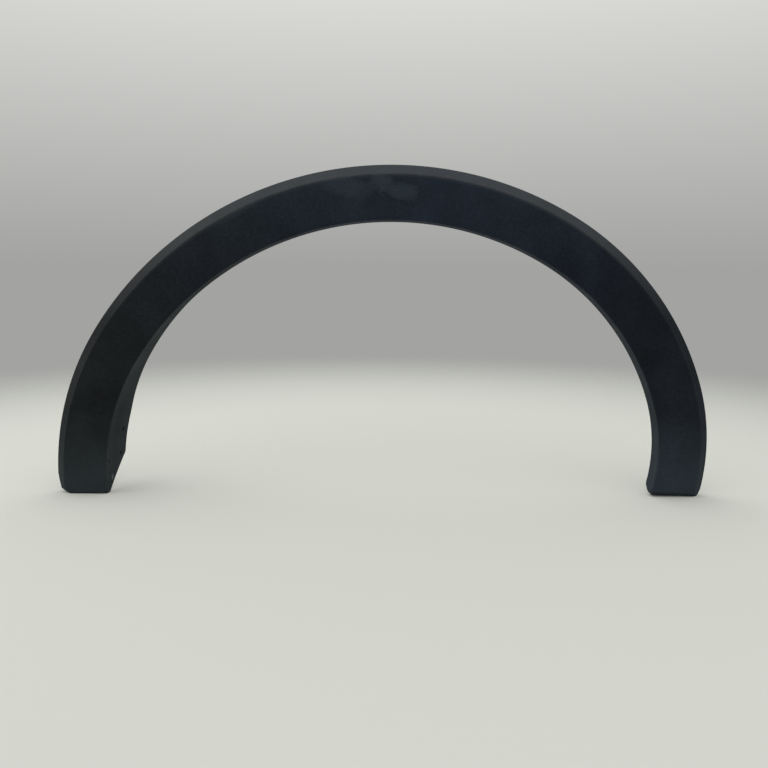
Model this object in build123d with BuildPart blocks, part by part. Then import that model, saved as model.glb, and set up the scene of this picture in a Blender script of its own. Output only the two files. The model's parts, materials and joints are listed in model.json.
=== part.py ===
"""Wheel arch trim: one moulded strip that frames a wheel opening.

The strip stands on its two feet with its face towards -Y and the car body towards +Y.
X runs along the car, Z is up, and Z = 0 is the level of the feet.
"""

import os
from collections import namedtuple
from math import acos, atan2, copysign, cos, degrees, radians, sin, sqrt, tan

from build123d import *

os.makedirs("parts", exist_ok=True)

# Opening line: the inner edge of the face, a chain of tangent arcs from foot to foot
opening_height = 393.0
crown_radius = 431.0
left_leg_radius = 326.5
right_shoulder_radius = 353.0
right_leg_radius = 243.5

# Angles from the vertical at which one arc of the opening line hands over to the next
left_leg_turn = 56.6
right_shoulder_turn = 29.8
right_leg_turn = 71.6

# Section of the moulding
wall = 2.8
face_width = 62.0
face_crown = 1.5
bevel_width = 13.7
bevel_depth = 14.5
rim_land = 2.5
flange_depth = 26.0
flange_draft = 3.0
crease_radius = 3.0
bevel_edge_radius = 1.6

# Left leg: the flange widens to a fixing tab with a slanted heel
tab_depth = 73.0
tab_start_height = 285.0
tab_full_height = 112.0
tab_heel_height = 46.0
tab_sweep_radius = 90.0
tab_heel_radius = 6.0
left_foot_depth = 12.0

# Right leg: the flange keeps its depth and ends in a rounded heel
right_heel_height = 13.0
right_heel_radius = 5.0
right_foot_depth = 13.0
right_foot_slope = 1.5

# Foot corners, cut back in facets, and the broken front edge of each foot
left_upper_facet_width = 5.0
left_upper_facet_height = 28.0
left_lower_facet_width = 8.0
left_lower_facet_height = 8.5
left_facet_lean = 36.0
right_facet_width = 6.5
right_facet_height = 9.0
right_inner_facet_width = 6.0
right_inner_facet_height = 7.0
left_toe_chamfer = 2.4
right_toe_chamfer = 6.5

# Clip houses on the back of the face, in pairs at equal heights
house_heights = (105.0, 225.0, 325.0)
house_length = 28.0
house_width = 22.0
house_wall = 2.0
house_roof = 2.4
house_setback = 1.2
clip_hole_diameter = 8.4
clip_neck_width = 5.6

# Holes of the fixing tab
tab_hole_diameter = 6.5
tab_hole_height = 48.0
tab_hole_spacing = 37.0
tab_hole_inset = 18.0
tab_pad_margin = 9.0
tab_pad_rise = 2.0
pilot_hole_diameter = 4.0
pilot_hole_depth = 12.5
pilot_hole_height = 45.0

# Room that a cutting shape gets past the surface it opens
overrun = 5.0

# Places that follow from the driving dimensions
front_y = -tab_depth / 2
rim_depth = face_crown + bevel_depth + rim_land
band_width = face_width + bevel_width
bevel_angle = atan2(bevel_depth, bevel_width)
draft_slope = tan(radians(flange_draft))
flange_wall = wall / cos(radians(flange_draft))

Arc = namedtuple("Arc", "x z radius start end")


def flange_offset(depth):
    """Offset of the flange surface from the opening line at this depth."""
    return (face_crown - depth) * draft_slope


def arc_from(previous, turn, radius, end=None):
    """Arc that leaves the previous one tangentially at the angle turn and runs to the angle end.

    Without an end it runs on until its flange has passed below the floor.
    """
    step = previous.radius - radius
    x = previous.x + step * sin(radians(turn))
    z = previous.z + step * cos(radians(turn))
    if end is None:
        flange_radius = radius + flange_offset(tab_depth + overrun)
        end = copysign(degrees(acos(-(z + overrun) / flange_radius)), turn)
    return Arc(x, z, radius, min(turn, end), max(turn, end))


def opening_line(crown_x):
    """Arcs of the opening line from the left foot to the right foot."""
    crown_z = opening_height - crown_radius
    crown = Arc(crown_x, crown_z, crown_radius, -left_leg_turn, right_shoulder_turn)
    left_leg = arc_from(crown, -left_leg_turn, left_leg_radius)
    shoulder = arc_from(crown, right_shoulder_turn, right_shoulder_radius, right_leg_turn)
    right_leg = arc_from(shoulder, right_leg_turn, right_leg_radius)
    return left_leg, crown, shoulder, right_leg


# The line is centred, so that both rims stand equally far from X = 0
trial = opening_line(0)
left_reach = trial[0].radius - trial[0].x
right_reach = trial[-1].radius + trial[-1].x
left_leg, crown, right_shoulder, right_leg = opening_line((left_reach - right_reach) / 2)


def arc_plane(arc):
    """Section plane at the start of an arc: x is radial, y is the depth into the car."""
    angle = radians(arc.start)
    radial = (sin(angle), 0, cos(angle))
    backward = (-cos(angle), 0, sin(angle))
    return Plane(origin=(arc.x, 0, arc.z), x_dir=radial, z_dir=backward)


def section_point(arc, offset, depth):
    """Point of a section: offset outward from the opening line, depth from the front."""
    return (arc.radius + offset, front_y + depth)


def draw_skin(arc, inset):
    """Front skin moved inward by inset, from the flange over face and bevel to the rim."""
    crease = section_point(arc, flange_offset(face_crown + inset) + inset, face_crown + inset)
    crest = section_point(arc, face_width / 2, inset)
    edge = section_point(arc, face_width - inset * tan(bevel_angle / 2), face_crown + inset)
    corner_depth = face_crown + bevel_depth + inset * tan(radians(45) - bevel_angle / 2)
    rim_corner = section_point(arc, band_width - inset, corner_depth)
    ThreePointArc(crease, crest, edge)
    Line(edge, rim_corner)
    return crease, edge, rim_corner


def envelope_section(arc):
    """Filled section: face block up to the rim, with the flange standing out behind it."""
    back = tab_depth + overrun
    with BuildSketch(arc_plane(arc)) as section:
        with BuildLine():
            crease, edge, rim_corner = draw_skin(arc, 0)
            rim_end = section_point(arc, band_width, rim_depth)
            root = section_point(arc, flange_offset(rim_depth) + flange_wall, rim_depth)
            tip_inside = section_point(arc, flange_offset(back) + flange_wall, back)
            tip = section_point(arc, flange_offset(back), back)
            Polyline(rim_corner, rim_end, root, tip_inside, tip, crease)
        make_face()
        fillet(section.vertices().sort_by_distance(crease)[0], crease_radius)
        fillet(section.vertices().sort_by_distance(edge)[0], bevel_edge_radius)
    return section.sketch


def cavity_section(arc):
    """Section of the hollow behind the skin, open at the back."""
    behind = rim_depth + overrun
    with BuildSketch(arc_plane(arc)) as section:
        with BuildLine():
            crease, edge, rim_corner = draw_skin(arc, wall)
            rim_end = section_point(arc, band_width - wall, behind)
            clear = section_point(arc, flange_offset(rim_depth) + flange_wall + overrun, behind)
            root = section_point(arc, flange_offset(rim_depth) + flange_wall, rim_depth)
            Polyline(rim_corner, rim_end, clear, root, crease)
        make_face()
    return section.sketch


def cut_plane(point, depth, along, lean):
    """Plane through a point at this depth, holding the direction along and leaning by lean.

    Its normal points to the material that is kept, which lies to the left of along.
    """
    inward = Vector(-along[1], 0, along[0]).normalized()
    tilt = radians(lean)
    normal = inward * cos(tilt) + Vector(0, 1, 0) * sin(tilt)
    origin = (point[0], front_y + depth, point[1])
    return Plane(origin=origin, x_dir=(along[0], 0, along[1]), z_dir=normal)


def leg_reach(leg, side, offset, height):
    """X of a leg's line at this offset from the opening line and this height."""
    return leg.x + side * sqrt((leg.radius + offset) ** 2 - (height - leg.z) ** 2)


# Planes that end each foot: the floor, the broken front edge and the facets of the corner
rim_corner_depth = face_crown + bevel_depth
left_rim_x = leg_reach(left_leg, -1, band_width, left_leg.z)
right_rim_x = leg_reach(right_leg, 1, band_width, right_facet_height)
right_toe_x = right_rim_x - right_facet_width
right_crease_x = leg_reach(right_leg, 1, 0, right_inner_facet_height)
right_inner_toe_x = right_crease_x + right_inner_facet_width
right_inner_facet = (right_inner_facet_width, -right_inner_facet_height)
right_floor = (cos(radians(right_foot_slope)), -sin(radians(right_foot_slope)))
left_foot = [
    cut_plane((0, 0), 0, (1, 0), 0),
    cut_plane((0, left_toe_chamfer), 0, (1, 0), 45),
]
for facet in (
    (left_upper_facet_width, -left_upper_facet_height),
    (left_lower_facet_width, -left_lower_facet_height),
):
    left_foot.append(cut_plane((left_rim_x + facet[0], 0), rim_corner_depth, facet, left_facet_lean))
right_foot = [
    cut_plane((right_toe_x, 0), 0, right_floor, 0),
    cut_plane((right_toe_x, right_toe_chamfer), 0, right_floor, 45),
    cut_plane((right_toe_x, 0), rim_corner_depth, (right_facet_width, right_facet_height), 0),
    cut_plane((right_inner_toe_x, 0), 0, right_inner_facet, 0),
]

# The envelope and the hollow, stretch by stretch along the opening line
envelope = []
cavity = []
stretches = ((left_leg, left_foot), (crown, []), (right_shoulder, []), (right_leg, right_foot))
for arc, foot in stretches:
    axis = Axis((arc.x, 0, arc.z), (0, 1, 0))
    span = arc.end - arc.start

    with BuildPart() as outer_stretch:
        revolve(envelope_section(arc), axis=axis, revolution_arc=span)
        for plane in foot:
            split(bisect_by=plane, keep=Keep.TOP)
    envelope.append(outer_stretch.part)

    with BuildPart() as inner_stretch:
        revolve(cavity_section(arc), axis=axis, revolution_arc=span)
        for plane in foot:
            split(bisect_by=plane.offset(wall), keep=Keep.TOP)
    cavity.append(inner_stretch.part)


def house_place(side, height):
    """Middle of a clip house at this height: x and the angle of its section from the vertical."""
    mid = face_width / 2
    for arc in (crown, left_leg) if side < 0 else (crown, right_shoulder, right_leg):
        angle = acos((height - arc.z) / (arc.radius + mid))
        if arc.start <= side * degrees(angle) <= arc.end:
            break
    return arc.x + side * (arc.radius + mid) * sin(angle), side * angle


house_planes = []
for height in house_heights:
    for side in (-1, 1):
        x, angle = house_place(side, height)
        outward = (sin(angle), 0, cos(angle))
        house_planes.append(Plane(origin=(x, front_y, height), x_dir=outward, z_dir=(0, 1, 0)))

house_top = rim_depth - house_setback
house_floor = wall + face_crown * (house_width / face_width) ** 2
house_room_length = house_length - 2 * house_wall

# Tab holes run along X through the flange and a flat pad behind it, which ends inside its wall
tab_hole_y = front_y + tab_depth - tab_hole_inset
tab_hole_mid = tab_hole_height + tab_hole_spacing / 2
tab_offset = flange_offset(tab_depth - tab_hole_inset) + flange_wall
pad_height = tab_hole_spacing + 2 * tab_pad_margin
pad_top = tab_hole_mid + pad_height / 2
pad_foot = tab_hole_mid - pad_height / 2
pad_x = leg_reach(left_leg, -1, tab_offset, pad_foot) - tab_pad_rise
pad_reach = leg_reach(left_leg, -1, flange_offset(tab_depth), pad_top) - pad_x + overrun

with BuildPart() as tab_pad:
    with BuildSketch(Plane.YZ.offset(pad_x)):
        with Locations((tab_hole_y, tab_hole_mid)):
            RectangleRounded(2 * tab_pad_margin, pad_height, tab_hole_diameter)
    extrude(amount=pad_reach)
    with BuildSketch(arc_plane(left_leg)):
        with BuildLine():
            Polyline(
                section_point(left_leg, flange_offset(0) + flange_wall / 2, 0),
                section_point(left_leg, flange_offset(2 * tab_depth) + flange_wall / 2, 2 * tab_depth),
                section_point(left_leg, -left_leg_radius / 2, 2 * tab_depth),
                section_point(left_leg, -left_leg_radius / 2, 0),
                close=True,
            )
        make_face()
    leg_axis = Axis((left_leg.x, 0, left_leg.z), (0, 1, 0))
    revolve(axis=leg_axis, revolution_arc=left_leg.end - left_leg.start, mode=Mode.SUBTRACT)

with BuildPart() as arch_moulding:
    add(envelope)
    add(cavity, mode=Mode.SUBTRACT)
    add(tab_pad.part)

    # Back edge of the flange on the left leg, seen from the side
    far = 2 * (opening_height + band_width)
    with BuildSketch(Plane.YZ):
        with BuildLine():
            FilletPolyline(
                (front_y + flange_depth, far),
                (front_y + flange_depth, tab_start_height),
                (front_y + tab_depth, tab_full_height),
                (front_y + tab_depth, tab_heel_height),
                (front_y + left_foot_depth, 0),
                (front_y + left_foot_depth, -overrun),
                (front_y + 2 * tab_depth, -overrun),
                (front_y + 2 * tab_depth, far),
                radius=[0, tab_sweep_radius, tab_sweep_radius, tab_heel_radius, 0, 0, 0, 0],
                close=True,
            )
        make_face()
    extrude(amount=-far, mode=Mode.SUBTRACT)

    # Back edge of the flange on the right leg
    with BuildSketch(Plane.YZ):
        with BuildLine():
            FilletPolyline(
                (front_y + flange_depth, far),
                (front_y + flange_depth, right_heel_height),
                (front_y + right_foot_depth, 0),
                (front_y + right_foot_depth, -overrun),
                (front_y + 2 * tab_depth, -overrun),
                (front_y + 2 * tab_depth, far),
                radius=[0, right_heel_radius, 0, 0, 0, 0],
                close=True,
            )
        make_face()
    extrude(amount=far, mode=Mode.SUBTRACT)

    # Clip houses: a box on the back of the face, open on its outer side, with a keyhole roof
    for plane in house_planes:
        with BuildSketch(plane.offset(wall / 2)):
            Rectangle(house_width, house_length)
        extrude(amount=house_top - wall / 2)
        with BuildSketch(plane.offset(house_floor)):
            with Locations((house_wall, 0)):
                Rectangle(house_width, house_room_length)
        extrude(amount=house_top - house_roof - house_floor, mode=Mode.SUBTRACT)
        with BuildSketch(plane.offset(house_top - house_roof)):
            Circle(clip_hole_diameter / 2)
            Rectangle(house_width / 2 + overrun, clip_neck_width, align=(Align.MIN, Align.CENTER))
        extrude(amount=house_roof + overrun, mode=Mode.SUBTRACT)

    # Two fixing holes and one pilot hole in the tab
    with BuildSketch(Plane.YZ.offset(pad_x - overrun)):
        with Locations(
            (tab_hole_y, tab_hole_height),
            (tab_hole_y, tab_hole_height + tab_hole_spacing),
        ):
            Circle(tab_hole_diameter / 2)
        with Locations((front_y + pilot_hole_depth, pilot_hole_height)):
            Circle(pilot_hole_diameter / 2)
    extrude(amount=pad_reach + 2 * overrun, mode=Mode.SUBTRACT)

arch_moulding.part.label = "arch_moulding"
export_step(arch_moulding.part, "parts/arch_moulding.step")

box = arch_moulding.part.bounding_box()
print(f"overall {box.size.X:.1f} x {box.size.Y:.1f} x {box.size.Z:.1f} mm")
print(f"volume {arch_moulding.part.volume / 1000:.1f} cm3, solids {len(arch_moulding.part.solids())}")
print(f"tab pad plane x {pad_x:.2f}, tab holes at y {tab_hole_y:.2f}")
for plane in house_planes:
    print(f"clip hole at x {plane.origin.X:.2f}, z {plane.origin.Z:.2f}, roof y {front_y + house_top:.2f}")
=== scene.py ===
# %% [markdown]
# # A wheel arch trim in grained plastic
#
# The object is one long moulding that frames a car's wheel opening. It stands on its two feet with its
# face towards the viewer (-Y) and its back, where it meets the car, towards +Y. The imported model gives
# the frame: its box, its fixing holes and its place. This notebook makes the moulding's surface again as
# a fine, even mesh, gives it its plastic, and lights it on a pale studio floor.
#
# Lengths are in millimetres until a mesh is made; Blender's own unit here is the metre.

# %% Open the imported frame
import json
from math import acos, atan2, cos, pi, radians, sin, tan

import bmesh
import bpy
import numpy as np
from mathutils import Matrix, Vector


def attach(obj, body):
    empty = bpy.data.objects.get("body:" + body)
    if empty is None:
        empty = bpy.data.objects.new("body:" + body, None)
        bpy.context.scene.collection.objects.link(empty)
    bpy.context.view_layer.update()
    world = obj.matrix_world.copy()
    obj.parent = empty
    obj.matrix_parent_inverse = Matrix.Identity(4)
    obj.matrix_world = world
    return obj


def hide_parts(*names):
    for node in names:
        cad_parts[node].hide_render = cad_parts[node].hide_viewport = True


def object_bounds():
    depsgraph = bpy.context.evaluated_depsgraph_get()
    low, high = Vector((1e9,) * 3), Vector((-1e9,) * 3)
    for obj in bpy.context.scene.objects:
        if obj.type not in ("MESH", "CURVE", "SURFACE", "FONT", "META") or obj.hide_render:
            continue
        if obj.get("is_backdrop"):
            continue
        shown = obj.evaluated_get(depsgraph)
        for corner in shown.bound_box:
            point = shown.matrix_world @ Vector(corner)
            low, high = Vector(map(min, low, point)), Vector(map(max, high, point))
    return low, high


MM = 0.001

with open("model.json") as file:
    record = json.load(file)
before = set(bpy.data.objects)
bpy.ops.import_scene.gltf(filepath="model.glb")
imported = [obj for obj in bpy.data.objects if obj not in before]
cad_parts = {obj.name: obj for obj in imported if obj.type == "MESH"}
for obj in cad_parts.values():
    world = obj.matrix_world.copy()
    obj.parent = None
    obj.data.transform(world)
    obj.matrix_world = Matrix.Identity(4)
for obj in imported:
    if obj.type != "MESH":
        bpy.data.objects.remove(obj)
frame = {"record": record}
cad_low, cad_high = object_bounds()
mounts = {mount["name"]: mount for mount in frame["record"]["mounts"]}
print("frame box in mm:", [round(v / MM, 1) for v in (*cad_low, *cad_high)])

# %% [markdown]
# ## The opening line
# On the car the trim follows the edge of the wheel opening: a line that was drawn as a few arcs, each
# tangent to the next. A spline through hand-placed points could follow it too, but arcs keep the sweep
# exact: a point of the section then moves on a circle, and its place is one sine and one cosine.

# %% Arcs of the opening line
opening_height = 393.0
crown_radius = 431.0
left_leg_radius = 326.5
right_shoulder_radius = 353.0
right_leg_radius = 243.5
left_leg_turn = radians(-56.6)
right_shoulder_turn = radians(29.8)
right_leg_turn = radians(71.6)

face_width = 62.0
bevel_width = 13.7
band_width = face_width + bevel_width
left_rim_x = cad_low.x / MM
below_floor = 25.0


def tangent_arc(arc, turn, radius):
    """Centre and radius of an arc that leaves another at the angle turn with no kink.

    The new centre lies on the line from the old centre to the handover, nearer by the difference of radii.
    """
    x, z, old_radius = arc
    step = old_radius - radius
    return x + step * sin(turn), z + step * cos(turn), radius


def floor_angle(arc):
    """Angle from the vertical at which an arc has passed well below the floor."""
    x, z, radius = arc
    return acos(-(z + below_floor) / radius)


left_leg_x = left_rim_x + left_leg_radius + band_width
crown_x = left_leg_x - (crown_radius - left_leg_radius) * sin(left_leg_turn)
crown = (crown_x, opening_height - crown_radius, crown_radius)
left_leg = tangent_arc(crown, left_leg_turn, left_leg_radius)
right_shoulder = tangent_arc(crown, right_shoulder_turn, right_shoulder_radius)
right_leg = tangent_arc(right_shoulder, right_leg_turn, right_leg_radius)

arcs = np.array([left_leg, crown, right_shoulder, right_leg])
handovers = np.array([
    -floor_angle(left_leg), left_leg_turn, right_shoulder_turn, right_leg_turn, floor_angle(right_leg),
])
arc_lengths = arcs[:, 2] * np.diff(handovers)
print("length of the opening line:", round(arc_lengths.sum()), "mm in", len(arcs), "arcs")

# %% Stations along the line
station_spacing = 6.0


def stations():
    """Rows of centre x, centre z, radius and angle, spaced evenly along the chain of arcs."""
    rows = []
    for (x, z, radius), start, end in zip(arcs, handovers[:-1], handovers[1:]):
        count = int(np.ceil(radius * (end - start) / station_spacing))
        angle = np.linspace(start, end, count, endpoint=False)
        rows.append(np.stack(np.broadcast_arrays(x, z, radius, angle), axis=1))
    last = [[*arcs[-1], handovers[-1]]]
    return np.concatenate([*rows, last])


line = stations()
print("stations:", len(line))

# %% [markdown]
# ## The section
# Cut across, the moulding is a hook: a slightly crowned face, a bevel that falls back to the rim, and a
# flange that turns into the wheel house on the inner side. Two outlines describe it, one for the solid
# envelope and one for the hollow behind the skin. Rounding the corners in the outline, and not with a
# Bevel modifier on the finished mesh, keeps every edge the same width along the whole arch.

# %% Sizes of the section
wall = 2.8
face_crown = 1.5
bevel_depth = 14.5
rim_land = 2.5
rim_depth = face_crown + bevel_depth + rim_land
draft_angle = radians(3.0)
flange_draft = tan(draft_angle)
flange_wall = wall / cos(draft_angle)
crease_radius = 3.0
bevel_edge_radius = 1.6
rim_corner_radius = 0.8
rim_edge_radius = 0.5
tab_depth = 73.0
front = cad_low.y / MM
bevel_angle = atan2(bevel_depth, bevel_width)
overrun = 5.0
outline_spacing = 4.0
corner_steps = 8
same_point = 1e-6
print("section:", band_width, "mm wide,", rim_depth, "mm deep, wall", wall, "mm")

# %% Helpers for outlines


def flange_offset(depth):
    """Offset of the flange from the opening line, which its draft moves inward with depth."""
    return (face_crown - depth) * flange_draft


def rounded(corners, radii, steps=corner_steps):
    """Closed outline with each corner replaced by an arc.

    The arc begins radius * tan(turn / 2) before the corner and turns through the corner's own angle.
    """
    corner = np.asarray(corners, float)
    radius = np.asarray(radii, float)
    into = corner - np.roll(corner, 1, axis=0)
    into /= np.linalg.norm(into, axis=1, keepdims=True)
    out = np.roll(into, -1, axis=0)
    turn = np.arctan2(into[:, 0] * out[:, 1] - into[:, 1] * out[:, 0], (into * out).sum(axis=1))
    begin = corner - into * (radius * np.tan(np.abs(turn) / 2))[:, None]
    left = np.stack([-into[:, 1], into[:, 0]], axis=1)
    centre = begin + left * (radius * np.sign(turn))[:, None]
    arm = begin - centre
    angle = turn[:, None] * np.linspace(0, 1, steps + 1)
    x = arm[:, :1] * np.cos(angle) - arm[:, 1:] * np.sin(angle)
    y = arm[:, :1] * np.sin(angle) + arm[:, 1:] * np.cos(angle)
    points = (centre[:, None] + np.stack([x, y], axis=-1)).reshape(-1, 2)
    return points[np.linalg.norm(points - np.roll(points, 1, axis=0), axis=1) > same_point]


def refined(points, spacing=outline_spacing):
    """Closed outline with long runs divided evenly into steps no longer than the spacing."""
    run = np.roll(points, -1, axis=0) - points
    count = np.maximum(1, np.ceil(np.linalg.norm(run, axis=1) / spacing)).astype(int)
    owner = np.repeat(np.arange(len(points)), count)
    first = np.repeat(np.cumsum(count) - count, count)
    share = (np.arange(len(owner)) - first) / count[owner]
    return points[owner] + share[:, None] * run[owner]


def crowned(points):
    """The front run between crease and bevel edge bulges forward as a parabola, face_crown high."""
    offset, depth = points.T
    bulge = face_crown * (1 - ((offset - face_width / 2) / (face_width / 2)) ** 2)
    on_face = (depth < rim_depth / 2) & (bulge > 0)
    return np.stack([offset, depth - np.where(on_face, bulge, 0)], axis=1)


print("the flange's back edge on the tab lies at offset", round(flange_offset(tab_depth), 2), "mm")

# %% Outlines of envelope and hollow


def envelope_outline():
    """Filled section as offset and depth: skin, flat back at the rim, and the flange behind it."""
    back = tab_depth + overrun
    corners = [
        (flange_offset(back), back),
        (0, face_crown),
        (face_width, face_crown),
        (band_width, face_crown + bevel_depth),
        (band_width, rim_depth),
        (flange_offset(rim_depth) + flange_wall, rim_depth),
        (flange_offset(back) + flange_wall, back),
    ]
    radii = [0, crease_radius, bevel_edge_radius, rim_corner_radius, rim_edge_radius, 0, 0]
    return crowned(refined(rounded(corners, radii)))


def hollow_outline():
    """Section of the hollow: the skin moved inward by the wall, open at the back."""
    behind = rim_depth + overrun
    front_depth = face_crown + wall
    corners = [
        (flange_offset(front_depth) + flange_wall, front_depth),
        (face_width - wall * tan(bevel_angle / 2), front_depth),
        (band_width - wall, face_crown + bevel_depth + wall * tan(pi / 4 - bevel_angle / 2)),
        (band_width - wall, behind),
        (flange_offset(rim_depth) + flange_wall + overrun, behind),
        (flange_offset(rim_depth) + flange_wall, rim_depth),
    ]
    return crowned(refined(rounded(corners, [0] * len(corners))))


print("outline points:", len(envelope_outline()), "envelope,", len(hollow_outline()), "hollow")

# %% [markdown]
# ## From outlines to solids
# A stack of rings, joined ring to ring and closed at both ends, is a solid. A curve with a bevel object
# could sweep the section too, but rings give every point exactly. The same few lines make the swept
# envelope, the straight prisms that cut it and the pins that drill it, so there is one function for all
# of them.

# %% Rings, sweeps and prisms


def carried(outline, path):
    """Rings of an outline carried along the opening line.

    A point at offset o and depth d goes to the arc's centre plus (radius + o) times the sine and cosine
    of the station's angle in X and Z, and to the front plus d in Y.
    """
    offset, depth = outline.T
    x, z, radius, angle = (column[:, None] for column in path.T)
    reach = radius + offset
    y = np.broadcast_to(front + depth, reach.shape)
    return np.stack([x + reach * np.sin(angle), y, z + reach * np.cos(angle)], axis=-1)


def prism(outline, origin, across, up, along, low, high):
    """Two rings of a straight prism: origin + u * across + v * up, moved along by low and by high."""
    flat = np.asarray(origin) + outline[:, :1] * np.asarray(across) + outline[:, 1:] * np.asarray(up)
    return np.stack([flat + low * np.asarray(along), flat + high * np.asarray(along)])


def solid_object(name, stacks):
    """One object from stacks of rings: quads join ring to ring, and a polygon closes each end."""
    places = []
    faces = []
    base = 0
    for rings in stacks:
        index = base + np.arange(rings.shape[0] * rings.shape[1]).reshape(rings.shape[:2])
        after = np.roll(index, -1, axis=1)
        quads = np.stack([index[:-1], after[:-1], after[1:], index[1:]], axis=-1).reshape(-1, 4)
        faces += quads.tolist() + [index[0][::-1].tolist(), index[-1].tolist()]
        places.append(rings.reshape(-1, 3) * MM)
        base += index.size
    mesh = bpy.data.meshes.new(name)
    mesh.from_pydata(np.concatenate(places), [], faces)
    shell = bmesh.new()
    shell.from_mesh(mesh)
    bmesh.ops.recalc_face_normals(shell, faces=shell.faces)
    shell.to_mesh(mesh)
    shell.free()
    made = bpy.data.objects.new(name, mesh)
    bpy.context.scene.collection.objects.link(made)
    return made


envelope = solid_object("grained_moulding", [carried(envelope_outline(), line)])
hollow = solid_object("hollow", [carried(hollow_outline(), line)])
print("envelope faces:", len(envelope.data.polygons), "hollow faces:", len(hollow.data.polygons))

# %% [markdown]
# ## The feet
# Each leg ends in a closed foot: flat below, with a broken front edge and an outer corner cut back in
# facets. The inner corner of the right foot is round, and a few narrow facets that touch one circle stand
# for it. A Bevel modifier could break these edges, but each has a width and a lean of its own, so planes
# describe them better. The envelope is sliced by each plane and closed again; the hollow is sliced by the
# same planes moved inward by one wall, so the foot keeps the wall of the rest.

# %% Planes of the feet
left_toe_chamfer = 2.4
left_facets = [(5.0, 28.0), (8.0, 8.5)]
left_facet_lean = radians(36.0)
right_toe_chamfer = 6.5
right_facet_width = 6.5
right_facet_height = 9.0
right_inner_radius = 7.5
right_inner_facets = 4
right_floor_slope = radians(1.5)
foot_zone = 60.0
rim_corner_depth = face_crown + bevel_depth


def foot_plane(point, depth, along, lean):
    """Point and normal of a cut that holds the direction along and leans back by lean.

    The normal is the direction along, turned a quarter to its left, times the cosine of the lean, plus Y
    times its sine.
    """
    inward = np.array([-along[1], 0, along[0]]) / np.hypot(*along)
    normal = inward * cos(lean) + np.array([0, sin(lean), 0])
    return np.array([point[0], front + depth, point[1]]), normal


def leg_reach(leg, side, offset, height):
    """X of a leg at an offset from the opening line and a height: its circle, solved for X."""
    x, z, radius = leg
    return x + side * np.sqrt((radius + offset) ** 2 - (height - z) ** 2)


right_toe_x = leg_reach(right_leg, 1, band_width, right_facet_height) - right_facet_width
right_inner_x = leg_reach(right_leg, 1, right_inner_radius, right_inner_radius)
right_meets_floor = acos(-right_leg[1] / right_leg[2])
# Each facet touches the circle in the middle of its share of the turn from floor to leg
right_inner_turns = right_meets_floor * (np.arange(right_inner_facets) + 0.5) / right_inner_facets
right_floor = (cos(right_floor_slope), -sin(right_floor_slope))
left_foot = [
    foot_plane((0, 0), 0, (1, 0), 0),
    foot_plane((0, left_toe_chamfer), 0, (1, 0), pi / 4),
]
for width, height in left_facets:
    floor_point = (left_rim_x + width, 0)
    left_foot.append(foot_plane(floor_point, rim_corner_depth, (width, -height), left_facet_lean))
right_foot = [
    foot_plane((right_toe_x, 0), 0, right_floor, 0),
    foot_plane((right_toe_x, right_toe_chamfer), 0, right_floor, pi / 4),
    foot_plane((right_toe_x, 0), rim_corner_depth, (right_facet_width, right_facet_height), 0),
]
for turn in right_inner_turns:
    tangent_point = (right_inner_x - right_inner_radius * sin(turn), right_inner_radius * (1 - cos(turn)))
    right_foot.append(foot_plane(tangent_point, 0, (cos(turn), -sin(turn)), 0))


def trim_foot(solid, planes, side, inset):
    """Slice one foot of a solid by planes moved inward by inset, and close each cut with a polygon.

    Only vertices on that side and below the foot zone take part: further up, the planes would pass
    through the leg and the crown.
    """
    shell = bmesh.new()
    shell.from_mesh(solid.data)
    for point, normal in planes:
        foot = {v for v in shell.verts if v.co.x * side > 0 and v.co.z < foot_zone * MM}
        around = [part for part in [*shell.edges, *shell.faces] if foot.issuperset(part.verts)]
        cut = bmesh.ops.bisect_plane(
            shell,
            geom=[*foot, *around],
            plane_co=Vector((point + normal * inset) * MM),
            plane_no=Vector(normal),
            clear_inner=True,
        )
        edges = [part for part in cut["geom_cut"] if isinstance(part, bmesh.types.BMEdge)]
        bmesh.ops.holes_fill(shell, edges=edges)
    bmesh.ops.recalc_face_normals(shell, faces=shell.faces)
    shell.to_mesh(solid.data)
    open_edges = sum(edge.is_boundary for edge in shell.edges)
    shell.free()
    return open_edges


for solid, inset in ((envelope, 0.0), (hollow, wall)):
    gaps = [trim_foot(solid, left_foot, -1, inset), trim_foot(solid, right_foot, 1, inset)]
    print(solid.name, "open edges after trimming:", gaps)

# %% [markdown]
# ## The back edge, the clip houses and the holes
# Seen from the side, the flange keeps one depth round the arch and widens on the left leg to a fixing
# tab. One prism on each side cuts that line. Behind the face stand six small houses for push-in clips,
# each open on its outer side with a keyhole in its roof, and the tab has two screw holes on a flat pad
# and one small pilot hole. The places of the clips and screws come from the record's mounts.

# %% Prisms of the back edge
flange_depth = 26.0
tab_start_height = 285.0
tab_full_height = 112.0
tab_heel_height = 46.0
tab_sweep_radius = 90.0
tab_heel_radius = 6.0
left_foot_depth = 12.0
right_heel_height = 13.0
right_heel_radius = 5.0
right_foot_depth = 13.0
far = 2 * (opening_height + band_width)
sweep_steps = 24

left_edge = rounded(
    [
        (front + flange_depth, far),
        (front + flange_depth, tab_start_height),
        (front + tab_depth, tab_full_height),
        (front + tab_depth, tab_heel_height),
        (front + left_foot_depth, 0),
        (front + left_foot_depth, -overrun),
        (front + 2 * tab_depth, -overrun),
        (front + 2 * tab_depth, far),
    ],
    [0, tab_sweep_radius, tab_sweep_radius, tab_heel_radius, 0, 0, 0, 0],
    sweep_steps,
)
right_edge = rounded(
    [
        (front + flange_depth, far),
        (front + flange_depth, right_heel_height),
        (front + right_foot_depth, 0),
        (front + right_foot_depth, -overrun),
        (front + 2 * tab_depth, -overrun),
        (front + 2 * tab_depth, far),
    ],
    [0, right_heel_radius, 0, 0, 0, 0],
    sweep_steps,
)
X, Y, Z = np.eye(3)
left_cutter = solid_object("left_back_edge", [prism(left_edge, (0, 0, 0), Y, Z, X, -far, overrun)])
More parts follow.
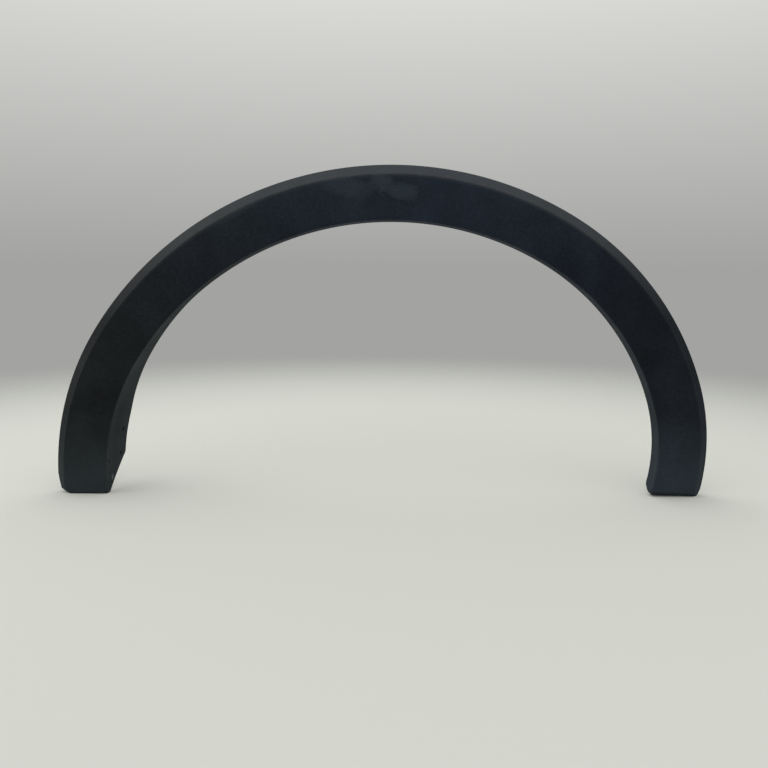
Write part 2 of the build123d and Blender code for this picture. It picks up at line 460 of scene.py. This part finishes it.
right_cutter = solid_object("right_back_edge", [prism(right_edge, (0, 0, 0), Y, Z, X, 0, far)])
print("points of the back edge:", len(left_edge), "on the left,", len(right_edge), "on the right")

# %% Outlines of a clip house
house_length = 28.0
house_width = 22.0
house_wall = 2.0
house_roof = 2.4
house_setback = 1.2
house_corner_radius = 0.4
house_corner_steps = 3
house_top = rim_depth - house_setback
house_floor = wall + face_crown * (house_width / face_width) ** 2


def circle(radius, steps=32):
    """Points of a circle about the origin: radius times cosine and sine of even angles."""
    angle = np.linspace(0, 2 * pi, steps, endpoint=False)
    return radius * np.stack([np.cos(angle), np.sin(angle)], axis=1)


def keyhole(radius, neck, reach, steps=24):
    """A round hole with a straight neck that leads out of it along the first axis."""
    half = np.arcsin(neck / 2 / radius)
    angle = np.linspace(half, 2 * pi - half, steps)
    arc = radius * np.stack([np.cos(angle), np.sin(angle)], axis=1)
    return np.concatenate([arc, [(reach, -neck / 2), (reach, neck / 2)]])


def rectangle(width, length):
    """Corners of a rectangle about the origin."""
    half = np.array([width, length]) / 2
    return half * np.array([(-1, -1), (1, -1), (1, 1), (-1, 1)])


house_outline = rounded(
    rectangle(house_width, house_length), [house_corner_radius] * 4, house_corner_steps,
)
room_outline = rectangle(house_width, house_length - 2 * house_wall) + [house_wall, 0]
print("clip house:", house_length, "x", house_width, "mm, its top", round(house_top, 1), "mm deep")

# %% Clip houses at the clips' places
clip_neck_width = 5.6
keyhole_dip = 1.0
clip_names = ["clips_low", "clips_mid", "clips_high"]


def section_angle(x, z):
    """Angle from the vertical of the section that holds a point, on the arc whose span it falls in."""
    angle = np.arctan2(x - arcs[:, 0], z - arcs[:, 1])
    held = (handovers[:-1] <= angle) & (angle <= handovers[1:])
    return angle[np.argmax(held)]


houses = []
rooms = []
keyholes = []
for name in clip_names:
    mount = mounts[name]
    hole_radius = mount["dims"]["hole_r_mm"]
    for side in (-1, 1):
        x = mount["pos_m"][0] / MM + side * mount["dims"]["spacing_x_mm"] / 2
        z = mount["pos_m"][2] / MM
        angle = section_angle(x, z)
        outward = np.array([sin(angle), 0, cos(angle)])
        place = dict(origin=(x, front, z), across=outward, up=np.cross(Y, outward), along=Y)
        clip_hole = keyhole(hole_radius, clip_neck_width, house_width / 2 + overrun)
        ceiling = house_top - house_roof
        houses.append(prism(house_outline, low=wall / 2, high=house_top, **place))
        rooms.append(prism(room_outline, low=house_floor, high=ceiling, **place))
        keyholes.append(prism(clip_hole, low=ceiling - keyhole_dip, high=house_top + overrun, **place))
house_tool = solid_object("clip_houses", houses)
room_tool = solid_object("clip_rooms", rooms)
keyhole_tool = solid_object("clip_keyholes", keyholes)
print("clip houses:", len(houses))

# %% Tab pad and holes
screws = mounts["tab_screws"]
screw_radius = screws["dims"]["hole_r_mm"]
screw_spacing = screws["dims"]["spacing_y_mm"]
pad_x, screw_y, screw_mid_z = (v / MM for v in screws["pos_m"])
pad_margin = 9.0
pilot_radius = 2.0
pilot_depth = 12.5
pilot_height = 45.0

pad_outline = rounded(rectangle(2 * pad_margin, screw_spacing + 2 * pad_margin), [2 * screw_radius] * 4)
pad_front = prism(pad_outline, (pad_x, screw_y, screw_mid_z), Y, Z, X, 0, 0)[0]
pad_back = pad_front.copy()
mid_wall = flange_offset(pad_front[:, 1] - front) + flange_wall / 2
pad_back[:, 0] = leg_reach(left_leg, -1, mid_wall, pad_front[:, 2])
pad_tool = solid_object("tab_pad", [np.stack([pad_front, pad_back])])

hole_reach = pad_back[:, 0].max() - pad_x + 2 * overrun
pins = [
    prism(circle(screw_radius), (pad_x, screw_y, screw_mid_z + shift), Y, Z, X, -overrun, hole_reach)
    for shift in (-screw_spacing / 2, screw_spacing / 2)
]
pilot = (pad_x, front + pilot_depth, pilot_height)
pins.append(prism(circle(pilot_radius), pilot, Y, Z, X, -overrun, hole_reach))
pin_tool = solid_object("tab_holes", pins)
print("pad at x", round(pad_x, 1), "mm, holes:", len(pins))

# %% [markdown]
# ## One moulding
# Boolean modifiers join and cut the solids one after another: first the hollow and the pad, then the back
# edge, then the houses, their rooms and the holes. The modifiers could stay live, but one plain mesh can be
# cleaned and can carry an attribute. So the result is read from the dependency graph as a mesh, and the
# tools are deleted, so that nothing of them is left in the scene or in the export.

# %% Join and cut
mould_steps = [
    (hollow, "DIFFERENCE"),
    (pad_tool, "UNION"),
    (left_cutter, "DIFFERENCE"),
    (right_cutter, "DIFFERENCE"),
    (house_tool, "UNION"),
    (room_tool, "DIFFERENCE"),
    (keyhole_tool, "DIFFERENCE"),
    (pin_tool, "DIFFERENCE"),
]
for tool, operation in mould_steps:
    modifier = envelope.modifiers.new(tool.name, "BOOLEAN")
    modifier.operation = operation
    modifier.solver = "EXACT"
    modifier.object = tool
    tool.hide_render = True

bpy.context.view_layer.update()
graph = bpy.context.evaluated_depsgraph_get()
moulded = bpy.data.meshes.new_from_object(envelope.evaluated_get(graph))
envelope.modifiers.clear()
envelope.data = moulded
for tool, operation in mould_steps:
    bpy.data.objects.remove(tool)
print("joined and cut with", len(mould_steps), "tools")

# %% Clean the mesh and mark its sharp edges
sharp_angle = radians(32.0)
merge_distance = 0.01 * MM

shell = bmesh.new()
shell.from_mesh(moulded)
bmesh.ops.remove_doubles(shell, verts=shell.verts, dist=merge_distance)
bmesh.ops.dissolve_degenerate(shell, edges=shell.edges, dist=merge_distance)
# The Boolean solver now and then leaves out a small face, and the gap is closed here
bmesh.ops.holes_fill(shell, edges=[edge for edge in shell.edges if edge.is_boundary])
for face in shell.faces:
    face.smooth = True
for edge in shell.edges:
    edge.smooth = edge.calc_face_angle(pi) < sharp_angle
loose = sum(not edge.is_manifold for edge in shell.edges)
volume_cm3 = shell.calc_volume() / (10 * MM) ** 3
shell.to_mesh(moulded)
shell.free()
print("moulding:", len(moulded.polygons), "faces,", loose, "loose edges,", round(volume_cm3, 1), "cm3")

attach(envelope, "root")
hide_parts("arch_moulding")

# %% [markdown]
# ## Where a point lies on the strip
# Wear follows the moulding, not the room: a wipe mark runs across the strip, a rubbed edge runs along it.
# So each vertex carries its own place on the strip, worked out backwards from its coordinates, and the
# material reads it as an attribute. A UV map could hold two of these numbers; an attribute holds all three.

# %% Strip places as an attribute
along_start = np.concatenate([[0.0], np.cumsum(arc_lengths)[:-1]])


def strip_places(points):
    """Distance along the opening line, offset from it and depth from the front, in millimetres.

    Each point takes the arc whose span holds its angle: along is radius times angle, offset is the
    distance from the centre less the radius.
    """
    x, y, z = points.T
    angle = np.arctan2(x - arcs[:, :1], z - arcs[:, 1:2])
    held = (handovers[:-1, None] <= angle) & (angle <= handovers[1:, None])
    owner = np.argmax(held, axis=0)
    centre_x, centre_z, radius = arcs[owner].T
    turned = angle[owner, np.arange(len(x))] - handovers[owner]
    offset = np.hypot(x - centre_x, z - centre_z) - radius
    return np.stack([along_start[owner] + radius * turned, offset, y - front], axis=1)


places = np.empty(len(moulded.vertices) * 3)
moulded.vertices.foreach_get("co", places)
strip = strip_places(places.reshape(-1, 3) / MM) * MM
attribute = moulded.attributes.new("strip_place", "FLOAT_VECTOR", "POINT")
attribute.data.foreach_set("vector", strip.astype(np.float32).ravel())
print("strip places from", strip.min(axis=0).round(3), "to", strip.max(axis=0).round(3), "m")

# %% [markdown]
# ## The plastic
# Trims like this are polypropylene with some rubber in it, coloured in the mass and moulded against an
# etched steel face. The etching leaves a fine grain that scatters light, so the surface looks dull and
# almost black, with a weak broad sheen. A single grey would look like paper: the eye expects the grain,
# a slow drift of tone, and the marks of handling. All of it is worked out from nodes, so it can be seen
# from any distance, and each layer below is a few nodes with one number coming out.

# %% Colour and node helpers


def linear(hex_colour):
    """sRGB hex to linear RGBA: c / 12.92 below 0.04045, else ((c + 0.055) / 1.055) to the power 2.4."""
    value = np.array([int(hex_colour[i:i + 2], 16) for i in (1, 3, 5)]) / 255
    rgb = np.where(value <= 0.04045, value / 12.92, ((value + 0.055) / 1.055) ** 2.4)
    return (*rgb, 1.0)


def per(size_mm):
    """Texture scale that gives features of this size, for coordinates in metres."""
    return 1 / (size_mm * MM)


def add(tree, kind, inputs=None, output=0, **settings):
    """Add a node and hand back one of its outputs.

    The settings are the node's properties; inputs gives sockets a value or another node's output.
    """
    made = tree.nodes.new(kind)
    for name, value in settings.items():
        setattr(made, name, value)
    for socket, value in (inputs or {}).items():
        if isinstance(value, bpy.types.NodeSocket):
            tree.links.new(value, made.inputs[socket])
        else:
            made.inputs[socket].default_value = value
    return made.outputs[output] if made.outputs else made


def empty_tree(block):
    """The node tree of a new material or world, with nothing in it."""
    block.use_nodes = True
    block.node_tree.nodes.clear()
    return block.node_tree


# A Mix node set to colours takes them in these sockets and gives the result in this one
FIRST_COLOUR, SECOND_COLOUR, MIXED_COLOUR = 6, 7, 2
print("half grey, linear:", round(float(linear("#808080")[0]), 3))

# %% [markdown]
# ### Tone of the plastic, with painted light
# The black changes along the strip: the left leg is a neutral black, over the crown it leans to blue, it is
# deepest on the right shoulder and a little lighter at the right foot. These changes are painted light and
# shade over a blue-black pigment: the warmer light on the left, more light over the crown, shade on the
# right shoulder and the floor's bounce at the right foot. A colour ramp along the strip says so with one
# stop for each. On top of that lies a slow mottle and a fine speckle, which is the grain seen as a change
# of tone.

# %% Moulded polypropylene, tone
# Painted light and shade: these blacks are lighter where a stretch gets more light, darkest in the right
# shoulder's shade
left_leg_warm_lit_black = "#1f2224"
crown_lit_blue_black = "#252c39"
right_shoulder_shaded_black = "#1c2026"
right_foot_bounce_lit_black = "#21262e"
pigment_and_light_stops = {
    230.0: left_leg_warm_lit_black,
    720.0: crown_lit_blue_black,
    1080.0: right_shoulder_shaded_black,
    1200.0: right_foot_bounce_lit_black,
}
mottle_size = 50.0
mottle_contrast = 0.2
speckle_size = 3.2
speckle_contrast = 0.16
noise_low, noise_high = 0.3, 0.7

plastic = bpy.data.materials.new("moulded_polypropylene")
tree = empty_tree(plastic)
coords = add(tree, "ShaderNodeTexCoord", output="Object")
strip_place = add(tree, "ShaderNodeAttribute", output="Vector", attribute_name="strip_place")
strip_axes = add(tree, "ShaderNodeSeparateXYZ", {"Vector": strip_place}).node.outputs
distance_along, strip_offset = strip_axes["X"], strip_axes["Y"]

share_along = add(tree, "ShaderNodeMapRange", {"Value": distance_along, "From Max": arc_lengths.sum() * MM})
# The ramp lays the painted light and shade along the strip
pigment_and_light = add(tree, "ShaderNodeValToRGB", {"Fac": share_along}, "Color")
stops = pigment_and_light.node.color_ramp.elements
for distance, colour in pigment_and_light_stops.items():
    stops.new(distance / arc_lengths.sum()).color = linear(colour)
# A new ramp brings two stops of its own, which go
for preset_stop in (stops[-1], stops[0]):
    stops.remove(preset_stop)

mottle = add(tree, "ShaderNodeTexNoise", {"Vector": coords, "Scale": per(mottle_size), "Detail": 4.0})
speckle = add(tree, "ShaderNodeTexNoise", {"Vector": coords, "Scale": per(speckle_size), "Detail": 1.0})
mottled, speckled = (
    add(tree, "ShaderNodeMapRange", {
        "Value": noise,
        "From Min": noise_low,
        "From Max": noise_high,
        "To Min": 1 - contrast,
        "To Max": 1 + contrast,
    })
    for noise, contrast in ((mottle, mottle_contrast), (speckle, speckle_contrast))
)
shade = add(tree, "ShaderNodeMath", {0: mottled, 1: speckled}, operation="MULTIPLY")
print("pigment stops at", list(pigment_and_light_stops), "mm along the strip")

# %% [markdown]
# ### Marks of handling
# Two patches of dried liquid lie on the crown. The right one has a darker border where it dried last; the
# left one, and a haze further left under the bevel, have none. A short scratch runs beside the right
# patch, and the left flange has a pale scuff near the foot. They could be painted on a picture, but that
# needs a UV map and is only as fine as its pixels. Here a mark is an ellipsoid: a Mapping node brings its
# space to the unit sphere, and the distance from the centre, made ragged by noise, says how deep inside
# the mark a point lies. The ellipsoids end near the back of the wall, so hardly any of a mark shows there.

# %% Places of the marks
ragged_size = 12.0
ragged_reach = 1.0
mark_depth = 2.4
mark_edge, mark_core = 1.0, 0.5
border_outside, border_inside = 1.4, 0.75
border_shade = 0.85
mark_sink = 0.3
on_face = front + mark_sink
patches = {
    "haze": dict(film=0.045, dried=False, spots=[
        dict(place=(-205.0, on_face, 403.0), half=(60.0, mark_depth, 11.0), tilt=-27.0),
    ]),
    "left_patch": dict(film=0.065, dried=False, spots=[
        dict(place=(-50.0, on_face, 438.0), half=(44.0, mark_depth, 17.0), tilt=12.0),
    ]),
    "right_patch": dict(film=0.075, dried=True, spots=[
        dict(place=(-1.0, on_face, 443.0), half=(21.0, mark_depth, 16.0), tilt=20.0),
        dict(place=(24.0, on_face, 432.0), half=(30.0, mark_depth, 14.0), tilt=12.0),
    ]),
}
scrapes = {
    "scratch": dict(pale=0.07, place=(-3.0, on_face, 428.0), half=(8.0, mark_depth, 0.8), tilt=26.0),
    "scuff": dict(pale=0.25, place=(-398.9, -12.0, 19.0), half=(mark_depth, 5.0, 5.5), tilt=0.0),
}
print("marks:", ", ".join([*patches, *scrapes]))

# %% Moulded polypropylene, marks
ragged = add(tree, "ShaderNodeTexNoise", {"Vector": coords, "Scale": per(ragged_size), "Detail": 6.0})
raggedness = add(tree, "ShaderNodeMapRange", {
    "Value": ragged, "To Min": -ragged_reach / 2, "To Max": ragged_reach / 2,
})


def ragged_distance(spot):
    """Distance from a spot's centre in its own half sizes, plus the raggedness."""
    local = add(tree, "ShaderNodeMapping", {
        "Vector": coords,
        "Location": [v * MM for v in spot["place"]],
        "Rotation": (0, radians(spot["tilt"]), 0),
        "Scale": [v * MM for v in spot["half"]],
    }, vector_type="TEXTURE")
    distance = add(tree, "ShaderNodeVectorMath", {0: local}, "Value", operation="LENGTH")
    return add(tree, "ShaderNodeMath", {0: distance, 1: raggedness}, operation="ADD")


films_and_painted_light = []
borders = []
for patch in patches.values():
    nearest = ragged_distance(patch["spots"][0])
    for spot in patch["spots"][1:]:
        nearest = add(tree, "ShaderNodeMath", {0: nearest, 1: ragged_distance(spot)}, operation="MINIMUM")
    films_and_painted_light.append(add(tree, "ShaderNodeMapRange", {
        "Value": nearest, "From Min": mark_edge, "From Max": mark_core, "To Max": patch["film"],
    }))
    if patch["dried"]:
        borders.append(add(tree, "ShaderNodeMapRange", {
            "Value": nearest, "From Min": border_outside, "From Max": mark_edge,
        }))
        borders.append(add(tree, "ShaderNodeMapRange", {
            "Value": nearest, "From Min": mark_edge, "From Max": border_inside, "To Max": -1.0,
        }))
paleness_and_highlights = [
    add(tree, "ShaderNodeMapRange", {
        "Value": ragged_distance(scrape),
        "From Min": mark_edge,
        "From Max": mark_core,
        "To Max": scrape["pale"],
    })
    for scrape in scrapes.values()
]
print("films:", len(films_and_painted_light), "borders:", len(borders), "pale marks:", len(paleness_and_highlights))

# %% [markdown]
# ### Dust, painted light and painted highlights
# Dust has been kicked up on the feet and on the flange of the legs, and has settled on the crown, most of
# all on its bevel, which faces up. The same pale layers also paint light: the floor's bounce on the feet,
# the light from above on the crown, and a sheen on the bevel and on the legs' flange, so each is part dust
# and part painted light. The crown's own flange faces down and stays clean. Dust could be worked out from
# the way a surface faces, but heights and places on the strip are easier to match to the real part. A
# cloth has left faint streaks across the strip: noise drawn out along the section. A thin pale line along
# the edge between face and bevel and along the rounded crease at the flange is a painted highlight.

# %% Moulded polypropylene, dust and painted light
# Dust and painted floor bounce on the feet
dust_and_floor_light_on_feet = dict(bare_height=120.0, peak_height=20.0, amount=0.085)
# Dust and painted light from above on the crown
dust_and_top_light_on_crown = dict(bare_height=320.0, peak_height=450.0, amount=0.035)
# Dust and painted sheen on the bevel, which faces up
dust_and_sheen_on_bevel = dict(bare_height=245.0, peak_height=370.0, amount=0.11)
# Dust and painted sheen on the legs' flange
dust_and_sheen_on_flange = dict(bare_height=50.0, peak_height=150.0, amount=0.075)
# How much of the flange's dust and painted sheen is left towards the crown
flange_dust_and_sheen_share = dict(bare_height=340.0, peak_height=240.0, amount=1.0)
# The bevel's dust and painted sheen begin on the face, this far before the edge, and are full this far
# beyond it
dust_and_sheen_before_edge = 4.5
dust_and_sheen_beyond_edge = 2.0
flange_edge = 1.0

height = add(tree, "ShaderNodeSeparateXYZ", {"Vector": coords}, "Z")
feet_dust_and_light, crown_dust_and_light, bevel_dust_and_sheen, flange_dust_and_sheen, below_crown = (
    add(tree, "ShaderNodeMapRange", {
        "Value": height,
        "From Min": dust_and_light["bare_height"] * MM,
        "From Max": dust_and_light["peak_height"] * MM,
        "To Max": dust_and_light["amount"],
    })
    for dust_and_light in (dust_and_floor_light_on_feet, dust_and_top_light_on_crown, dust_and_sheen_on_bevel, dust_and_sheen_on_flange, flange_dust_and_sheen_share)
)
on_bevel = add(tree, "ShaderNodeMapRange", {
    "Value": strip_offset,
    "From Min": (face_width - dust_and_sheen_before_edge) * MM,
    "From Max": (face_width + dust_and_sheen_beyond_edge) * MM,
})
on_flange = add(tree, "ShaderNodeMapRange", {
    "Value": strip_offset, "From Min": flange_edge * MM, "From Max": 0.0,
})
# The bevel's dust and painted sheen go to the pale grey
paleness_and_highlights.append(add(tree, "ShaderNodeMath", {0: bevel_dust_and_sheen, 1: on_bevel}, operation="MULTIPLY"))
# Dust and painted sheen on the flange only, fading towards the crown
flange_dust_and_sheen = add(tree, "ShaderNodeMath", {0: flange_dust_and_sheen, 1: below_crown}, operation="MULTIPLY")
flange_dust_and_sheen = add(tree, "ShaderNodeMath", {0: flange_dust_and_sheen, 1: on_flange}, operation="MULTIPLY")
films_and_painted_light += [feet_dust_and_light, crown_dust_and_light, flange_dust_and_sheen]
print("films with dust:", len(films_and_painted_light))

# %% Moulded polypropylene, wiped streaks and painted edge highlights
wipe_width = 7.0
wipe_length = 140.0
wipe_film = 0.012
streak_low, streak_high = 0.5, 0.8
# A painted highlight: a pale line along the crease and the edge between face and bevel
highlight_line_width = 1.6
highlight_paleness = 0.06

wipe_space = add(tree, "ShaderNodeMapping", {
    "Vector": strip_place,
    "Scale": (per(wipe_width), per(wipe_length), per(wipe_length)),
})
wipes = add(tree, "ShaderNodeTexNoise", {"Vector": wipe_space, "Scale": 1.0, "Detail": 3.0})
streaks = add(tree, "ShaderNodeMapRange", {
    "Value": wipes, "From Min": streak_low, "From Max": streak_high, "To Max": wipe_film,
})
films_and_painted_light.append(streaks)

# Painted highlight along the crease (offset 0) and along the edge between face and bevel
for edge_offset in (0.0, face_width):
    off_edge = add(tree, "ShaderNodeMath", {0: strip_offset, 1: edge_offset * MM}, operation="SUBTRACT")
    off_edge = add(tree, "ShaderNodeMath", {0: off_edge}, operation="ABSOLUTE")
    painted_highlight = add(tree, "ShaderNodeMapRange", {
        "Value": off_edge, "From Min": highlight_line_width * MM, "From Max": 0.0, "To Max": highlight_paleness,
    })
    paleness_and_highlights.append(add(tree, "ShaderNodeMath", {0: painted_highlight, 1: mottle}, operation="MULTIPLY"))
print("all films:", len(films_and_painted_light), "all pale marks:", len(paleness_and_highlights))

# %% Moulded polypropylene, layers put together
# A thin film looks bluish on black; thick dust and scraped plastic are a plain pale grey
# The film grey also carries the painted floor bounce, top light and flange sheen; the pale grey carries the
# bevel's painted sheen and the painted edge highlights
film_and_light_grey = "#74858f"
dust_and_highlight_grey = "#9a9b97"


def added(terms):
    """A chain of Math nodes that adds up a list of outputs."""
    total = terms[0]
    for term in terms[1:]:
        total = add(tree, "ShaderNodeMath", {0: total, 1: term}, operation="ADD")
    return total


# Films of dust and stains added up, with the painted light and sheen; the pale marks hold the painted
# highlights
film = added(films_and_painted_light)
border = add(tree, "ShaderNodeMapRange", {"Value": added(borders), "To Min": 1.0, "To Max": border_shade})
shade = add(tree, "ShaderNodeMath", {0: shade, 1: border}, operation="MULTIPLY")
clean = add(tree, "ShaderNodeVectorMath", {0: pigment_and_light, "Scale": shade}, operation="SCALE")
dusty_and_lit = add(tree, "ShaderNodeMix", {
    "Factor": film,
    FIRST_COLOUR: clean,
    SECOND_COLOUR: linear(film_and_light_grey),
}, MIXED_COLOUR, data_type="RGBA")
worn_and_highlit = add(tree, "ShaderNodeMix", {
    "Factor": added(paleness_and_highlights),
    FIRST_COLOUR: dusty_and_lit,
    SECOND_COLOUR: linear(dust_and_highlight_grey),
}, MIXED_COLOUR, data_type="RGBA")
print("colour nodes:", len(tree.nodes))

# %% [markdown]
# ### Grain and sheen
# The etched grain is about half a millimetre wide on the part. That is less than a pixel here, so it is
# drawn twice as wide, which keeps a touch of it in the picture. The resin's refractive index is 1.5, but
# the grain's pits trap most of what would shine, so the specular level is set far lower. The mottle
# drifts the roughness too, because the mould's etching is never quite even.

# %% Moulded polypropylene, grain and shader
grain_size = 1.1
grain_height = 0.2
grain_strength = 0.4
dull_roughness = 0.76
sleek_roughness = 0.68
resin_ior = 1.5
grained_specular = 0.05

grain = add(tree, "ShaderNodeTexNoise", {"Vector": coords, "Scale": per(grain_size), "Detail": 2.0})
bump = add(tree, "ShaderNodeBump", {
    "Height": grain, "Strength": grain_strength, "Distance": grain_height * MM,
})
roughness = add(tree, "ShaderNodeMapRange", {
    "Value": mottle,
    "From Min": noise_low,
    "From Max": noise_high,
    "To Min": dull_roughness,
    "To Max": sleek_roughness,
})
surface = add(tree, "ShaderNodeBsdfPrincipled", {
    "Base Color": worn_and_highlit,
    "Roughness": roughness,
    "Normal": bump,
    "IOR": resin_ior,
    "Specular IOR Level": grained_specular,
})
add(tree, "ShaderNodeOutputMaterial", {"Surface": surface})
moulded.materials.clear()
moulded.materials.append(plastic)
print("plastic nodes:", len(tree.nodes))

# %% [markdown]
# ## The studio
# A plain pale floor carries the shadow. It fades out with distance into the backdrop, so no hard horizon
# crosses the picture from any side. A curved sheet behind the object would do this for one view only.
# The studio's own sizes are in metres.

# %% Floor
floor_half = 3.0
fade_start = 0.6
fade_end = 1.8
floor_white = "#d6d7d2"

floor_mesh = bpy.data.meshes.new("studio_floor")
corners = np.array([(-1, -1, 0), (1, -1, 0), (1, 1, 0), (-1, 1, 0)]) * floor_half
floor_mesh.from_pydata(corners, [], [(0, 1, 2, 3)])
floor = bpy.data.objects.new("studio_floor", floor_mesh)
bpy.context.scene.collection.objects.link(floor)
floor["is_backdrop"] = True

paint = bpy.data.materials.new("pale_floor_paint")
tree = empty_tree(paint)
from_middle = add(tree, "ShaderNodeTexCoord", output="Object")
from_middle = add(tree, "ShaderNodeVectorMath", {0: from_middle}, "Value", operation="LENGTH")
fade = add(tree, "ShaderNodeMapRange", {
    "Value": from_middle, "From Min": fade_start, "From Max": fade_end,
}, interpolation_type="SMOOTHSTEP")
matt = add(tree, "ShaderNodeBsdfDiffuse", {"Color": linear(floor_white)})
gone = add(tree, "ShaderNodeBsdfTransparent")
faded = add(tree, "ShaderNodeMixShader", {0: fade, 1: matt, 2: gone})
add(tree, "ShaderNodeOutputMaterial", {"Surface": faded})
floor_mesh.materials.append(paint)
print("floor:", 2 * floor_half, "m wide, gone at", fade_end, "m")

# %% [markdown]
# ## The light
# A white ceiling lights the scene: the world is a dome that is brightest overhead and a little brighter
# on the left than on the right. What the eye sees behind the object is a pale wall tone, so rays from the
# camera, and those that a sheen or glass sends on, get a gradient of their own. Lamps alone could light the
# part, but a dome gives the soft, even light of a room. One weak softbox stands on the left and a little
# behind, and lights the left bevel and the inner side of the right leg, not the face.

# %% World
wall_tone = 0.37
wall_rise = 1.3
wall_power = 1.2
dome_low = 0.15
dome_high = 1.4
dome_side = 0.25
ceiling_white = "#fefffb"

world = bpy.data.worlds.new("white_ceiling")
bpy.context.scene.world = world
tree = empty_tree(world)
direction = add(tree, "ShaderNodeTexCoord", output="Generated")
towards = add(tree, "ShaderNodeSeparateXYZ", {"Vector": direction}).node.outputs
elevation = add(tree, "ShaderNodeMath", {0: towards["Z"], 1: 0.0}, operation="MAXIMUM")
rise = add(tree, "ShaderNodeMath", {0: elevation, 1: wall_power}, operation="POWER")
seen = add(tree, "ShaderNodeMapRange", {
    "Value": rise, "To Min": wall_tone, "To Max": wall_tone + wall_rise,
})
lit = add(tree, "ShaderNodeMapRange", {"Value": elevation, "To Min": dome_low, "To Max": dome_high})
side = add(tree, "ShaderNodeMapRange", {
    "Value": towards["X"], "From Min": -1.0, "To Min": 1 + dome_side, "To Max": 1 - dome_side,
})
lit = add(tree, "ShaderNodeMath", {0: lit, 1: side}, operation="MULTIPLY")
rays = add(tree, "ShaderNodeLightPath").node.outputs
shown = rays["Is Camera Ray"]
for kind in ("Is Glossy Ray", "Is Transmission Ray"):
    shown = add(tree, "ShaderNodeMath", {0: shown, 1: rays[kind]}, operation="MAXIMUM")
strength = add(tree, "ShaderNodeMix", {"Factor": shown, "A": lit, "B": seen})
sky = add(tree, "ShaderNodeBackground", {"Color": linear(ceiling_white), "Strength": strength})
add(tree, "ShaderNodeOutputWorld", {"Surface": sky})
print("dome:", dome_low, "at the horizon,", dome_high, "overhead")

# %% Softbox
softbox_side = 1.0
softbox_power = 3.8
softbox_place = Vector((-1.7, 0.25, 0.4))
lit_place = Vector((0, 0, 0.2))

softbox = bpy.data.lights.new("left_softbox", "AREA")
softbox.shape = "SQUARE"
softbox.size = softbox_side
softbox.energy = softbox_power
softbox_object = bpy.data.objects.new("left_softbox", softbox)
softbox_object.location = softbox_place
aim = lit_place - softbox_place
softbox_object.rotation_mode = "QUATERNION"
softbox_object.rotation_quaternion = aim.to_track_quat("-Z", "Y")
softbox_object.visible_camera = False
bpy.context.scene.collection.objects.link(softbox_object)
print("softbox:", softbox_power, "W at", round(aim.length, 2), "m")

# %% [markdown]
# ## The camera
# The picture was taken from in front, in the middle and a third of a metre up, looking slightly down. The
# camera could be aimed with a constraint, but its pitch and roll are known, so its three axes are worked
# out and set as one matrix. The focal length is known in pixels of the picture, so the lens is that share
# of the sensor's width.

# %% Camera
picture_size = 768
focal_pixels = 740.0
sensor_width = 36.0
camera_place = Vector((3.1, -1076.6, 325.6)) * MM
pitch = radians(8.8)
roll = radians(-0.36)

camera_data = bpy.data.cameras.new("photo_camera")
camera_data.sensor_width = sensor_width
camera_data.lens = focal_pixels / picture_size * sensor_width
forward = Vector((0, cos(pitch), -sin(pitch)))
level = Vector((1, 0, 0))
upright = Vector((0, sin(pitch), cos(pitch)))
right = level * cos(roll) - upright * sin(roll)
up = upright * cos(roll) + level * sin(roll)
camera = bpy.data.objects.new("photo_camera", camera_data)
turned = Matrix((right, up, -forward)).transposed().to_4x4()
camera.matrix_world = Matrix.Translation(camera_place) @ turned
bpy.context.scene.collection.objects.link(camera)
bpy.context.scene.camera = camera
bpy.context.scene.view_settings.view_transform = "Standard"
print("lens:", round(camera_data.lens, 1), "mm")

# %% [markdown]
# ## Boxes
# The finished surface has to fill the same box as the imported model. The largest difference between the
# two boxes is printed.

# %% Compare the boxes
seen_low, seen_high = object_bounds()
box_differences = np.abs(np.array([*seen_low, *seen_high]) - [*cad_low, *cad_high])
print("the boxes differ by at most", round(box_differences.max() / MM, 2), "mm")
